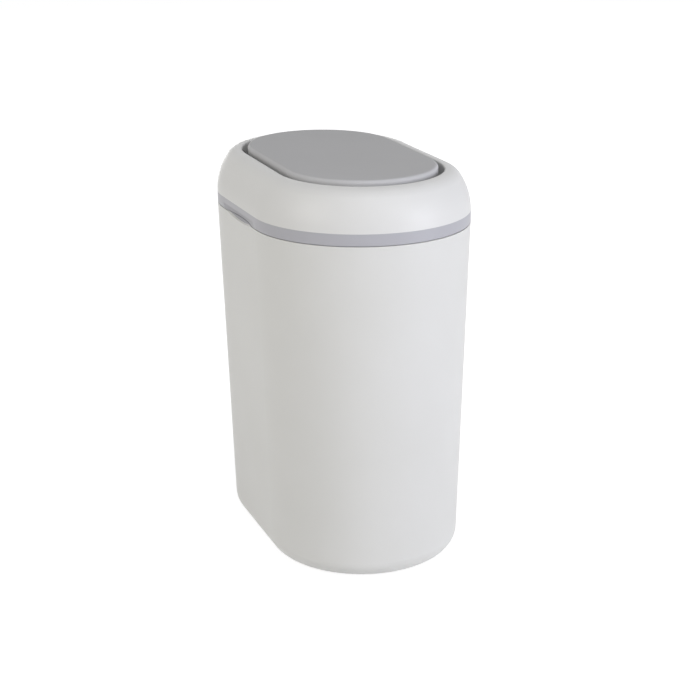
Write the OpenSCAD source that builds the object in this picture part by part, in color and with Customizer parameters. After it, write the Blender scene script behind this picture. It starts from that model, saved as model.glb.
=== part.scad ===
// Nappy bin with a lift-up head, a touch lid over the mouth and a sprung odour trap.
// Millimetres. Origin at the centre of the base on the floor, +Z up, front towards -Y.
//
// Nearly every moulding shares one plan, a stadium: two half circles joined by straight sides.
// The line between the centres of the half circles is the spine. A radius is a distance from
// the spine, so one drawn section (radius, height) swept around it gives each ring and shell.

/* [Body] */
// Distance between the centres of the two round ends
spine_len = 107; // [80:1:130]
// Radius of the body at its top edge
top_r = 110; // [107:0.5:120]
// Height of the body shell, without the base ring
body_h = 349; // [250:1:450]
// How much narrower each side is at the base
taper = 10; // [0:0.5:16]
// Wall of the body shell
wall = 2.8; // [2.2:0.1:3.5]
// Floor of the body shell
floor_t = 3; // [2:0.1:5]
// Radius of the rounded edge around the base
base_fillet = 18; // [8:0.5:30]
// Rounding of the edges on both sides of the parting gap
parting_round = 0.4; // [0.2:0.1:0.6]
// Height of the thinner wall that the rim frame drops into
rebate_h = 12; // [8:0.5:20]
// Wall left beside the rim frame
rebate_wall = 1.4; // [1:0.1:1.8]

/* [Base ring] */
// Distance of the non-slip ring from the rounded edge of the base
base_ring_inset = 4; // [2:0.5:20]
// Width of the ring
base_ring_w = 7; // [4:0.5:12]
// Thickness of the ring
base_ring_t = 2.2; // [1.6:0.1:3]
// Part of the ring that stands below the floor
base_ring_proud = 1; // [0.5:0.1:1.4]

/* [Rim frame] */
// Width of the frame, from the body's outer face to the opening that takes the liner ring
frame_w = 24; // [22:0.5:25.5]
// Thickness of the frame's flange
frame_flange_t = 2; // [1.8:0.1:3]
// Wall of the frame's two skirts
frame_skirt_t = 2; // [1.5:0.1:3]
// Depth of the skirt around the opening
frame_lip_h = 8; // [4:0.5:12]
// Height of the flange above the body's edge
frame_proud = 0.2; // [0:0.05:0.3]

/* [Liner ring] */
// Width of the ring's rim
liner_rim_w = 9; // [6:0.5:10]
// Thickness of the rim
liner_rim_t = 2; // [1.5:0.1:2.4]
// Depth of the sleeve that the bag folds over
liner_sleeve_h = 22; // [12:1:40]
// Wall of the sleeve
liner_wall = 2; // [1.2:0.1:3]

/* [Head] */
// Gap between the body's edge and the band
parting_gap = 0.7; // [0.5:0.05:1]
// Height of the grey band
band_h = 11.5; // [11:0.1:14]
// Wall of the band and of the housing
head_wall = 2.6; // [2:0.1:3]
// Thickness of the band's inner shelf
shelf_t = 2.5; // [2:0.1:3]
// Width of the shelf, from the band's outer face to its opening
shelf_w = 22; // [20:0.5:24]
// Distance of the seal's inner rib from the shelf's opening
seal_rib_inset = 4.5; // [3:0.5:6]
// Thickness of the two ribs that hold the rim seal
seal_rib_t = 1.5; // [1.2:0.1:2]
// Width of the rim seal
rim_seal_w = 3.8; // [3:0.1:4.5]
// Thickness of the foot that the housing stands on
foot_t = 3; // [2:0.1:4]
// Height of the housing from the band to the rim of the lid well, at the middle
shoulder_h = 41.8; // [38:0.1:50]
// Slope of the lid and its well, lower at the front
head_slope = 0.9; // [0:0.1:1.5]
// Angle that the lower, flatter arc of the shoulder turns through
shoulder_turn = 35; // [30:1:38]
// Width of the flat land around the lid well
rim_land = 3; // [2:0.1:4]
// Rounding of the well's edge
rim_round = 1.5; // [0.5:0.1:2]
// Distance of the lid well's wall from the band's outer face
well_inset = 27; // [24:0.5:28]
// Depth of the lid well
well_depth = 15; // [14.5:0.1:16]
// Thickness of the well's floor
well_floor_t = 2.4; // [2:0.1:3]

/* [Finger recess] */
// Half length of the recess along its upper edge
recess_half_len = 50; // [30:1:52]
// Height of its upper edge above the bottom of the band
recess_rise = 5.8; // [5:0.1:7]
// Height of its opening in the middle
recess_open_h = 9.3; // [8:0.1:10]
// Depth of the recess
recess_depth = 6; // [5:0.1:7]
// Thickness of the band around the recess
recess_back = 11; // [10.6:0.1:11.4]

/* [Head hinge] */
// Distance of the hinge axis from the band's outer face
head_axis_inset = 4; // [3.8:0.1:4.5]
// Height of the hinge axis above the bottom of the band
head_axis_rise = 6.3; // [6:0.1:7]
// Radius of the hinge pin
head_pin_r = 1.5; // [1:0.1:1.8]
// Radius of the hinge knuckles
head_knuckle_r = 3; // [2.8:0.1:3.3]
// Distance between the two hinges
head_hinge_pitch = 70; // [50:1:76]
// Length of the knuckle on the frame
frame_knuckle_len = 14; // [8:0.5:18]
// Length of each knuckle on the band
band_knuckle_len = 8; // [5:0.5:10]
// Reach of the frame's stem from the hinge axis, towards the inside
stem_in = 2.5; // [2:0.1:2.8]
// Reach of the frame's stem from the hinge axis, towards the outside
stem_out = 0.5; // [0.2:0.1:1]
// Height above the hinge axis of the band's slot for the frame's knuckle
stem_slot_rise = 1.3; // [1:0.1:2]

/* [Chute] */
// Distance of the mouth from the lid well's wall
mouth_inset = 23; // [22:0.5:26]
// How much narrower the outlet is on each side than the mouth
funnel_in = 10; // [8:0.5:14]
// Wall of the chute
chute_wall = 2.4; // [2:0.1:3]
// Height of the collar above the well's floor
collar_h = 8.5; // [8:0.1:8.8]
// Depth of the screw bosses below the well's floor
boss_h = 8; // [6:0.5:12]
// Width of the chute's flange around the mouth
chute_flange_w = 16; // [15:0.5:18]
// Height of the sloped part of the chute
funnel_h = 32; // [20:1:45]
// Height of the straight outlet
outlet_h = 12; // [10:0.5:20]

/* [Trap flaps] */
// Thickness of a flap
flap_t = 2.5; // [2:0.1:3.5]
// Overlap of a flap outside the outlet's bore
flap_lap = 5.5; // [4.5:0.1:6]
// Depth of the ribs under a flap
flap_rib_h = 3.7; // [2:0.1:6]
// Thickness of a rib
flap_rib_t = 2; // [1.2:0.1:3]
// Distance between the two cross ribs
flap_rib_pitch = 36; // [26:1:60]
// Distance of the ring rib from the flap's edge
flap_rib_inset = 1.5; // [1:0.1:2]
// Thickness of the flap's seal
flap_seal_t = 1.5; // [1:0.1:2]
// Width of the flap's seal
flap_seal_w = 5; // [4:0.1:6]
// Distance of the flap's axis from the flap's edge
flap_axis_out = 4.5; // [4.4:0.1:6]
// Depth of the flap's axis below its top face
flap_axis_drop = 0.2; // [0:0.1:0.5]
// Radius of the flap's pin
flap_pin_r = 1.5; // [1:0.1:1.7]
// Radius of the flap's knuckles
flap_knuckle_r = 3.5; // [3.2:0.1:3.8]
// Radius of the ears on the chute
flap_ear_r = 4; // [3.6:0.1:4]
// Thickness of an ear
flap_ear_t = 4; // [3:0.5:6]
// Distance between the outer faces of a flap's two ears
flap_pin_len = 96; // [70:1:104]
// Length of a flap knuckle
flap_knuckle_len = 9.7; // [6:0.1:14]
// Height above the outlet's end of the web that carries an ear
ear_web_rise = 2.5; // [1.5:0.1:4]
// Half of the gap between the two flaps
flap_half_gap = 0.4; // [0.3:0.05:0.6]

/* [Lid] */
// Gap between the lid and the wall of the well
lid_gap = 6; // [4:0.5:8]
// Height of the lid above the rim of the well
lid_rise = 4; // [3:0.5:5]
// Depth of the lid's side wall
lid_h = 8.5; // [8.2:0.1:9]
// Thickness of the lid's plate and side wall
lid_wall = 2.5; // [2:0.1:2.8]
// Rounding of the lid's upper edge
lid_round = 4; // [3:0.1:5]
// Thickness of the panel under the lid
panel_t = 2; // [1.5:0.1:2.5]
// Width of the lid's seal
lid_seal_w = 3.5; // [3:0.1:4]
// Thickness of the lid's seal
lid_seal_t = 1.7; // [1.2:0.1:2]

/* [Lid hinge] */
// Distance of the lid's axis from the lid's rear edge
lid_axis_setback = 9.5; // [9:0.1:9.8]
// Depth of the lid's axis below the lid's top face
lid_axis_depth = 7; // [6.8:0.1:7.4]
// Radius of the lid's pin
lid_pin_r = 2; // [1.5:0.1:2.2]
// Radius of the ears and knuckles
lid_knuckle_r = 3.5; // [3.2:0.1:3.5]
// Distance of each knuckle's inner face from the middle
lid_knuckle_x = 10; // [8.5:0.5:14]
// Length of a knuckle and thickness of an ear
lid_knuckle_len = 5; // [4:0.5:6]

/* [Touch catch] */
// Radius of the catch's barrel
catch_r = 4.75; // [4:0.05:5]
// Radius of the plunger
plunger_r = 2.5; // [2.2:0.1:2.8]
// Height of the plunger
plunger_h = 8.7; // [7:0.1:10]
// Height of the plunger's tip above the barrel
plunger_proud = 1; // [0.5:0.1:1.2]
// Depth of the barrel below the well's floor
catch_depth = 9; // [8:0.5:12]
// Width of the barrel's flange
catch_flange_w = 0.9; // [0.8:0.1:1]
// Thickness of the barrel's flange and floor
catch_flange_t = 1.5; // [1:0.1:2]
// Gap between the plunger's tip and the striker
striker_gap = 1.8; // [1.6:0.1:2]
// Radius of the striker
striker_r = 4; // [3:0.1:4.5]
// Thickness of the striker
striker_t = 1.7; // [1.2:0.1:1.8]
// Radius of the magnet in the plunger's tip
magnet_r = 1.6; // [1.2:0.1:1.8]
// Length of the magnet
magnet_h = 3; // [2:0.1:4]

/* [Springs] */
// Radius of the trap springs' wire
trap_wire_r = 0.3; // [0.2:0.05:0.35]
// Radius of the trap springs' coil, at the middle of the wire
trap_coil_r = 2.65; // [2.6:0.05:2.8]
// Advance of a coil in one turn
trap_pitch = 1.7; // [1.3:0.1:2.4]
// Length of the leg under the flap
trap_leg_len = 14; // [8:0.5:18]
// Radius of the lid spring's wire
lid_wire_r = 0.4; // [0.3:0.05:0.45]
// Radius of the lid spring's coil, at the middle of the wire
lid_coil_r = 3; // [2.9:0.05:3.1]
// Advance of the lid spring in one turn
lid_pitch = 2.2; // [1.5:0.1:2.5]
// Radius of the catch spring's wire
catch_wire_r = 0.25; // [0.2:0.05:0.3]
// Radius of the catch spring's coil, at the middle of the wire
catch_coil_r = 2; // [1.9:0.05:2.1]
// Number of turns in the catch spring
catch_turns = 4; // [3:1:5]

/* [Screws] */
// Radius of the screws' shanks
screw_r = 1.25; // [1:0.05:1.5]
// Radius of the screws' heads
screw_head_r = 2.6; // [2.2:0.1:2.8]
// Height of the screws' heads
screw_head_h = 1.6; // [1.2:0.1:1.8]
// Radius of the screw bosses
boss_r = 3; // [2.8:0.1:3.2]
// Length of the screws' threads
screw_len = 10; // [8:0.5:11]
// Depth of a pilot hole beyond its screw
pilot_spare = 0.4; // [0.3:0.1:0.8]
// Thickness of a boss above its pilot hole
boss_cap_t = 1.6; // [1:0.1:2]
// Gap between a boss and the wall beside it
boss_wall_gap = 1.9; // [1.7:0.1:2]
// Distance of a boss from the edge of the chute's flange
boss_edge = 2.5; // [2:0.1:3]
// Distance of the chute's side screws from the middle
chute_screw_y = 30; // [20:1:45]
// Distance of the lid's side screws from the middle
lid_screw_y = 35; // [20:1:45]

/* [Fits] */
// Radial clearance of a pin that turns
run_gap = 0.05; // [0.02:0.01:0.08]
// Radial clearance of a pin or rod that is held still
hold_gap = 0.02; // [0.01:0.01:0.05]
// Clearance between mouldings that drop into each other
drop_gap = 0.15; // [0.1:0.05:0.3]
// Clearance between parts that move past each other
move_gap = 0.3; // [0.2:0.05:0.4]
// Gap between a spring's leg and the face that it bears on
leg_gap = 0.1; // [0.05:0.01:0.15]

/* [Hidden] */
$fn = 96;

// Overshoot of a cut past the face that it opens
over = 1;

// Colours
white_plastic = "#dcdcda";
inner_white = "#d2d3d2";
grey_plastic = "#a3a3a5";
band_grey = "#b9b9be";
dark_rubber = "#55565a";
soft_seal = "#77797c";
steel = "#9fa3a8";
magnet_grey = "#3c3d40";

// Heights, from the floor up
base_z = base_ring_proud;
body_top = base_z + body_h;
rebate_z = body_top - rebate_h;
frame_top = body_top + frame_proud;
band_z = body_top + parting_gap;
band_top = band_z + band_h;
shelf_z = band_top - shelf_t;
rim_z = band_top + shoulder_h;
well_z = rim_z - well_depth;
well_under = well_z - well_floor_t;
collar_z = well_z + collar_h;
chute_flange_z = well_under - boss_h;
funnel_z = chute_flange_z - chute_wall;
outlet_top_z = funnel_z - funnel_h;
outlet_z = outlet_top_z - outlet_h;
flap_z = outlet_z - move_gap - flap_seal_t;
lid_z = rim_z + lid_rise;
panel_z = lid_z - lid_h;
panel_top = panel_z + panel_t;

// Radii
spine_half = spine_len / 2;
body_r = function(z) top_r - taper * (body_top - z) / body_h;
base_ring_r = body_r(base_z) - base_fillet - base_ring_inset;
frame_hole_r = top_r - frame_w;
shelf_hole_r = top_r - shelf_w;
well_r = top_r - well_inset;
mouth_r = well_r - mouth_inset;
outlet_r = mouth_r - funnel_in;
chute_flange_r = mouth_r + chute_flange_w;
rebate_r = body_r(rebate_z) - rebate_wall;
frame_r = rebate_r - drop_gap;
liner_r = frame_hole_r - 2 * move_gap;
lid_r = well_r - lid_gap;
panel_r = lid_r - lid_wall - drop_gap;
collar_r = mouth_r + chute_wall;
flap_r = outlet_r + flap_lap;
seal_rib_r = shelf_hole_r + seal_rib_inset;
rim_seal_r = seal_rib_r + seal_rib_t + drop_gap;

// Head hinge
head_axis_x = top_r - head_axis_inset;
head_axis_z = band_z + head_axis_rise;
hinge_reach = norm([head_axis_inset, head_axis_rise]) + 2 * move_gap;
hinge_sweep_y = spine_half + sqrt(top_r * top_r - head_axis_x * head_axis_x) + over;
head_pin_half = frame_knuckle_len / 2 + move_gap + band_knuckle_len;

// Lid hinge
lid_axis_y = spine_half + lid_r - lid_axis_setback;
lid_axis_z = lid_z - lid_axis_depth;
lid_ear_x = lid_knuckle_x + lid_knuckle_len + move_gap;
lid_pin_half = lid_ear_x + lid_knuckle_len;
lid_slot_half = lid_pin_half + 2 * move_gap;
lid_slot_y = lid_axis_y - lid_knuckle_r - 2 * move_gap;

// Touch catch, centred between the mouth's collar and the lid's side wall
catch_y = -(spine_half + (collar_r + lid_r - lid_wall) / 2);
striker_z = panel_z - striker_t;
plunger_top = striker_z - striker_gap;
catch_top = plunger_top - plunger_proud;
plunger_z = plunger_top - plunger_h;
catch_z = well_z - catch_depth;
catch_floor_z = catch_z + catch_flange_t;

// Trap flap hinge
flap_axis_x = flap_r + flap_axis_out;
flap_axis_z = flap_z - flap_axis_drop;
flap_ear_y = flap_pin_len / 2 - flap_ear_t;
flap_rib_r = flap_r - flap_rib_inset - flap_rib_t;
flap_rib_z = flap_z - flap_t - flap_rib_h;

// Rows of screws; the angles are turns around the round ends
housing_screw_r = top_r - head_wall - boss_r - boss_wall_gap;
housing_boss_z = band_top + foot_t;
housing_pilot_top = shelf_z + screw_len + pilot_spare;
chute_screw_r = chute_flange_r - boss_r - boss_edge;
lid_screw_r = (collar_r + panel_r) / 2;
housing_screw_turns = [12, 64, 116, 168];
chute_screw_turns = [55, 125];
lid_screw_turns = [-50, -130];
housing_screws_at = concat(
    [[housing_screw_r, 0]],
    end_points(housing_screw_r, housing_screw_turns),
    end_points(housing_screw_r, -housing_screw_turns)
);
chute_screws_at = concat(
    side_points(chute_screw_r, chute_screw_y),
    end_points(chute_screw_r, chute_screw_turns),
    end_points(chute_screw_r, -chute_screw_turns)
);
lid_screws_at = concat(
    side_points(lid_screw_r, lid_screw_y),
    end_points(lid_screw_r, lid_screw_turns)
);

// Points on the four straight quarters of a side at a radius
function side_points(r, y) = [for (x = [-r, r], end = [-y, y]) [x, end]];

// Points on the round ends at a radius; positive angles lie on the rear end
function end_points(r, angles) =
    [for (a = angles) [r * cos(a), sign(a) * spine_half + r * sin(a)]];

// ---- Shared shapes ----

// Sweeps a section (radius, height) around the stadium
module sweep() {
    for (turn = [0, 180])
        rotate([0, 0, turn])
            translate([0, spine_half, 0])
                rotate_extrude(angle = 180)
                    children();
    for (side = [0, 1])
        mirror([side, 0, 0])
            rotate([90, 0, 0])
                linear_extrude(height = spine_len, center = true)
                    children();
}

// Rectangle in the section, between two radii and two heights
module section(r0, r1, z0, z1) {
    translate([r0, z0])
        square([r1 - r0, z1 - z0]);
}

// Cylinder along X or Y, centred on a point
module bar_x(r, x0, x1, y, z) {
    translate([x0, y, z])
        rotate([0, 90, 0])
            cylinder(h = x1 - x0, r = r);
}

module bar_y(r, y0, y1, x, z) {
    translate([x, y1, z])
        rotate([90, 0, 0])
            cylinder(h = y1 - y0, r = r);
}

// Box between two corners
module block(low, high) {
    translate(low)
        cube(high - low);
}

// Tilts the lid, its well and what hangs from them about the middle of the band's top
module sloped() {
    translate([0, 0, band_top])
        rotate([head_slope, 0, 0])
            translate([0, 0, -band_top])
                children();
}

// What a rounded edge leaves off the corner at (r, z); up is 1 for an upper edge, -1 for a lower
module eased_corner(r, z, round, up) {
    difference() {
        translate([r - round, up > 0 ? z - round : z - over])
            square([2 * round, round + over]);
        translate([r - round, z - up * round])
            circle(r = round);
    }
}

// Copies its children to every listed place
module at_each(places) {
    for (p = places)
        translate([p.x, p.y, 0])
            children();
}

// Screw with its head's underside at z and its point upwards
module screw(z) {
    translate([0, 0, z - screw_head_h])
        cylinder(h = screw_head_h, r = screw_head_r);
    translate([0, 0, z])
        cylinder(h = screw_len, r = screw_r - hold_gap);
}

// ---- Springs ----

// Middle line of a coil around Z from angle a0 to a1, with straight legs along its tangents
function coil_line(r, pitch, a0, a1, leg0, leg1) =
    let (
        steps = ceil((a1 - a0) / 45),
        point = function(a) [r * cos(a), r * sin(a), pitch * (a - a0) / 360],
        along = function(a) [-sin(a), cos(a), 0]
    )
    concat(
        leg0 > 0 ? [point(a0) - leg0 * along(a0)] : [],
        [for (i = [0:steps]) point(a0 + (a1 - a0) * i / steps)],
        leg1 > 0 ? [point(a1) + leg1 * along(a1)] : []
    );

// Least distance between wires of neighbouring turns
function wire_gap(line, wire_r) =
    min([
        for (i = [0:len(line) - 7])
            for (j = [i + 6:len(line) - 1])
                norm(line[i] - line[j]) - 2 * wire_r
    ]);

// Tube of six sides along a line that never runs along Z
module wire(line, wire_r) {
    last = len(line) - 1;
    sides = 6;
    rings = [
        for (i = [0:last])
            let (
                step = line[min(i + 1, last)] - line[max(i - 1, 0)],
                t = step / norm(step),
                side = cross([0, 0, 1], t),
                u = side / norm(side),
                v = cross(t, u)
            )
            for (k = [0:sides - 1])
                line[i] + wire_r * (cos(60 * k) * u + sin(60 * k) * v)
    ];
    skin = [
        for (i = [0:last - 1])
            for (k = [0:sides - 1])
                let (
                    a = i * sides + k,
                    b = i * sides + (k + 1) % sides
                )
                each [[a, b, b + sides], [a, b + sides, a + sides]]
    ];
    caps = [
        for (k = [1:sides - 2])
            each [[0, k + 1, k], [last * sides, last * sides + k, last * sides + k + 1]]
    ];
    polyhedron(points = rings, faces = [for (f = concat(skin, caps)) [f[2], f[1], f[0]]]);
}

// ---- Bin ----

// Section of the body's outside, drawn in by inset at the wall and by lift at the floor
module body_area(inset, lift, rise) {
    slope_len = norm([taper, body_h]);
    round = base_fillet - inset;
    low = base_z + lift;
    centre = [
        body_r(low) - inset - round * (slope_len - taper) / body_h,
        low + round
    ];
    out = [body_h, -taper] / slope_len;
    top = body_top + rise;
    polygon([
        [0, low], [centre.x, low], centre, centre + round * out, [body_r(top) - inset, top], [0, top]
    ]);
    translate(centre)
        circle(r = round);
}

// Room for the band's lower edge as the head swings past the body
module hinge_trough() {
    bar_y(hinge_reach, -hinge_sweep_y, hinge_sweep_y, head_axis_x, head_axis_z);
}

// Finger recess: a wide disc with a rounded lower edge, sunk sideways into the band and the body
module finger_scoop() {
    cutter_r = (recess_half_len * recess_half_len + recess_depth * recess_depth)
        / (2 * recess_depth);
    arc_r = (recess_depth * recess_depth + recess_open_h * recess_open_h) / (2 * recess_depth);
    half_turn = asin((recess_half_len + recess_depth) / cutter_r);
    translate([recess_depth - top_r - cutter_r, 0, band_z + recess_rise])
        rotate([0, 0, -half_turn])
            rotate_extrude(angle = 2 * half_turn, $fn = 360)
                intersection() {
                    translate([cutter_r - arc_r, 0])
                        circle(r = arc_r);
                    section(cutter_r - recess_depth - over, cutter_r + over, -arc_r, 0);
                }
}

module body_shell() {
    color(white_plastic)
        difference() {
            sweep()
                difference() {
                    body_area(0, 0, 0);
                    body_area(wall, floor_t, over);
                    section(rebate_r - wall, rebate_r, rebate_z, body_top + over);
                    eased_corner(top_r, body_top, parting_round, 1);
                    section(
                        base_ring_r - base_ring_w - drop_gap, base_ring_r + drop_gap,
                        base_z - over, base_ring_t
                    );
                }
            hinge_trough();
            finger_scoop();
        }
}

module base_ring() {
    color(dark_rubber)
        sweep()
            section(base_ring_r - base_ring_w, base_ring_r, 0, base_ring_t);
}

// Middles of the two hinges
function hinge_places() = [-head_hinge_pitch / 2, head_hinge_pitch / 2];

// Pins or bores of the two head hinges
module head_pins(gap, spare) {
    for (y = hinge_places())
        bar_y(
            head_pin_r + gap, y - head_pin_half - spare, y + head_pin_half + spare,
            head_axis_x, head_axis_z
        );
}

module rim_frame() {
    color(band_grey)
        difference() {
            union() {
                difference() {
                    sweep() {
                        section(frame_hole_r, frame_r, frame_top - frame_flange_t, frame_top);
                        section(frame_r - frame_skirt_t, frame_r, rebate_z, frame_top);
                        section(
                            frame_hole_r, frame_hole_r + frame_skirt_t,
                            frame_top - frame_lip_h, frame_top
                        );
                    }
                    hinge_trough();
                    finger_scoop();
                }
                for (y = hinge_places()) {
                    bar_y(
                        head_knuckle_r, y - frame_knuckle_len / 2, y + frame_knuckle_len / 2,
                        head_axis_x, head_axis_z
                    );
                    block(
                        [head_axis_x - stem_in, y - frame_knuckle_len / 2, frame_top - frame_flange_t],
                        [head_axis_x + stem_out, y + frame_knuckle_len / 2, head_axis_z]
                    );
                }
            }
            head_pins(hold_gap, over);
        }
}

module head_hinge_pins() {
    color(steel)
        head_pins(0, 0);
}

module liner_ring() {
    color(inner_white)
        sweep() {
            section(liner_r - liner_wall, liner_r, frame_top - liner_sleeve_h, frame_top + liner_rim_t);
            section(
                liner_r - liner_wall, liner_r - liner_wall + liner_rim_w,
                frame_top, frame_top + liner_rim_t
            );
        }
}

// ---- Head ----

module head_band() {
    rib_z = frame_top + liner_rim_t + 2 * move_gap;
    outer_rib_r = rim_seal_r + rim_seal_w + drop_gap;
    web_top = shelf_z + shelf_t / 2;
    slot_half = frame_knuckle_len / 2 + move_gap;
    color(band_grey)
        difference() {
            union() {
                sweep() {
                    difference() {
                        section(top_r - head_wall, top_r, band_z, band_top);
                        eased_corner(top_r, band_z, parting_round, -1);
                    }
                    section(shelf_hole_r, top_r, shelf_z, band_top);
                    for (r = [seal_rib_r, outer_rib_r])
                        section(r, r + seal_rib_t, rib_z, shelf_z);
                }
                block(
                    [-top_r + head_wall / 2, -spine_half, band_z],
                    [-top_r + recess_back, spine_half, band_top]
                );
                for (y = hinge_places())
                    for (side = [-1, 1]) {
                        near = y + side * slot_half;
                        far = near + side * band_knuckle_len;
                        bar_y(head_knuckle_r, min(near, far), max(near, far), head_axis_x, head_axis_z);
                        block(
                            [head_axis_x - head_knuckle_r, min(near, far), head_axis_z],
                            [head_axis_x + head_knuckle_r, max(near, far), web_top]
                        );
                    }
            }
            finger_scoop();
            for (y = hinge_places()) {
                block(
                    [head_axis_x - head_knuckle_r - move_gap, y - slot_half, band_z - over],
                    [top_r + over, y + slot_half, head_axis_z + stem_slot_rise]
                );
                bar_y(
                    head_knuckle_r + move_gap, y - slot_half, y + slot_half,
                    head_axis_x, head_axis_z
                );
            }
            head_pins(run_gap, over);
            at_each(housing_screws_at)
                translate([0, 0, shelf_z - over])
                    cylinder(h = shelf_t + 2 * over, r = screw_r + move_gap);
        }
}

module rim_seal() {
    color(soft_seal)
        sweep()
            section(rim_seal_r, rim_seal_r + rim_seal_w, frame_top + move_gap, shelf_z);
}

// The shoulder is two arcs: the lower one starts upright and turns by shoulder_turn, the upper
// one ends level. Their radii are solved so that together they make the height and the inset.
shoulder_inset = top_r - well_r - rim_land;
upper_round = (
    shoulder_inset * sin(shoulder_turn) - shoulder_h * (1 - cos(shoulder_turn))
) / (cos(shoulder_turn) + sin(shoulder_turn) - 1);
lower_round = (shoulder_h - upper_round * (1 - sin(shoulder_turn))) / sin(shoulder_turn);
// Wall drawn below the shoulder, which the slope lifts at the back and the band's top cuts off
skirt_h = 2 * (spine_half + top_r) * sin(head_slope) + over;

// Area inside the shoulder, drawn in by inset
module shoulder_area(inset) {
    lower_c = [top_r - lower_round, band_top];
    turn_at = [cos(shoulder_turn), sin(shoulder_turn)];
    upper_c = lower_c + (lower_round - upper_round) * turn_at;
    lower_r = lower_round - inset;
    upper_r = upper_round - inset;
    joint = lower_c + lower_r * turn_at;
    reach = 2 * lower_round;
    intersection() {
        translate(lower_c)
            circle(r = lower_r, $fn = 180);
        polygon([lower_c, lower_c + [reach, 0], lower_c + reach * turn_at]);
    }
    translate(upper_c)
        circle(r = upper_r);
    polygon([
        [0, band_top], lower_c + [lower_r / 2, 0], joint, upper_c,
        upper_c + [0, upper_r], [0, upper_c.y + upper_r]
    ]);
    section(0, top_r - inset, band_top - skirt_h, band_top);
}

module top_housing() {
    color(white_plastic) {
        difference() {
            union() {
                difference() {
                    sloped()
                        sweep() {
                            difference() {
                                shoulder_area(0);
                                shoulder_area(head_wall);
                                section(0, well_r + rim_round, band_top - skirt_h - over, rim_z + over);
                            }
                            section(
                                well_r, well_r + 2 * rim_round, rim_z - head_wall, rim_z - rim_round
                            );
                            intersection() {
                                translate([well_r + rim_round, rim_z - rim_round])
                                    circle(r = rim_round);
                                section(well_r, well_r + 2 * rim_round, rim_z - head_wall, rim_z);
                            }
                        }
                    block([-2 * top_r, -2 * top_r, 0], [2 * top_r, 2 * top_r, band_top]);
                }
                sweep()
                    section(
                        housing_screw_r - boss_r, top_r - head_wall / 2, band_top, housing_boss_z
                    );
            }
            at_each(housing_screws_at)
                translate([0, 0, band_top - over])
                    cylinder(h = foot_t + 2 * over, r = screw_r);
        }
        at_each(housing_screws_at)
            translate([0, 0, housing_boss_z])
                difference() {
                    cylinder(h = housing_pilot_top + boss_cap_t - housing_boss_z, r = boss_r);
                    translate([0, 0, -over])
                        cylinder(h = housing_pilot_top - housing_boss_z + over, r = screw_r);
                }
    }
}

module lid_well() {
    color(white_plastic)
        difference() {
            union() {
                difference() {
                    sweep() {
                        section(well_r, well_r + head_wall, well_under, rim_z - head_wall);
                        section(collar_r + drop_gap, well_r + head_wall, well_under, well_z);
                    }
                    translate([0, catch_y, well_under - over])
                        cylinder(h = well_floor_t + 2 * over, r = catch_r + drop_gap);
                    translate([lid_coil_len / 2, lid_axis_y + lid_coil_r, well_under - over])
                        cylinder(h = well_floor_t + 2 * over, r = lid_wire_r + move_gap);
                }
                at_each(chute_screws_at)
                    translate([0, 0, chute_flange_z])
                        cylinder(h = boss_h, r = boss_r);
                for (side = [0, 1])
                    mirror([side, 0, 0]) {
                        bar_x(lid_knuckle_r, lid_ear_x, lid_pin_half, lid_axis_y, lid_axis_z);
                        block(
                            [lid_ear_x, lid_axis_y - lid_knuckle_r, well_z],
                            [lid_pin_half, lid_axis_y + lid_knuckle_r, lid_axis_z]
                        );
                    }
            }
            at_each(chute_screws_at)
                translate([0, 0, funnel_z])
                    cylinder(h = screw_len + pilot_spare, r = screw_r);
            bar_x(
                lid_pin_r + hold_gap, -lid_pin_half - over, lid_pin_half + over,
                lid_axis_y, lid_axis_z
            );
        }
}

module housing_screws() {
    color(steel)
        at_each(housing_screws_at)
            screw(shelf_z);
}

// ---- Chute and trap ----

module chute_section() {
    section(mouth_r, collar_r, funnel_z, collar_z);
    section(mouth_r, chute_flange_r, funnel_z, chute_flange_z);
    polygon([
        [outlet_r, outlet_top_z], [mouth_r, funnel_z], [collar_r, funnel_z],
        [outlet_r + chute_wall, outlet_top_z]
    ]);
    section(outlet_r, outlet_r + chute_wall, outlet_z, outlet_top_z);
}

module chute() {
    color(inner_white)
        difference() {
            union() {
                sweep()
                    chute_section();
                for (side = [0, 1], end = [0, 1])
                    mirror([side, 0, 0])
                        mirror([0, end, 0]) {
                            bar_y(
                                flap_ear_r, flap_ear_y, flap_ear_y + flap_ear_t,
                                flap_axis_x, flap_axis_z
                            );
                            block(
                                [flap_axis_x - flap_ear_r + drop_gap, flap_ear_y, flap_axis_z],
                                [flap_axis_x + flap_ear_r, flap_ear_y + flap_ear_t, outlet_top_z]
                            );
                            block(
                                [outlet_r + chute_wall / 2, flap_ear_y, outlet_z + ear_web_rise],
                                [flap_axis_x, flap_ear_y + flap_ear_t, outlet_top_z]
                            );
                        }
            }
            for (side = [-1, 1])
                bar_y(
                    flap_pin_r + hold_gap, -flap_pin_len, flap_pin_len,
                    side * flap_axis_x, flap_axis_z
                );
            at_each(chute_screws_at)
                translate([0, 0, funnel_z - over])
                    cylinder(h = chute_wall + 2 * over, r = screw_r + move_gap);
        }
}

module chute_screws() {
    color(steel)
        at_each(chute_screws_at)
            screw(funnel_z);
}

// Keeps the half of its children to the right of the gap between the flaps
module right_half(z0, z1) {
    intersection() {
        children();
        block([flap_half_gap, -2 * top_r, z0], [top_r, 2 * top_r, z1]);
    }
}

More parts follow.
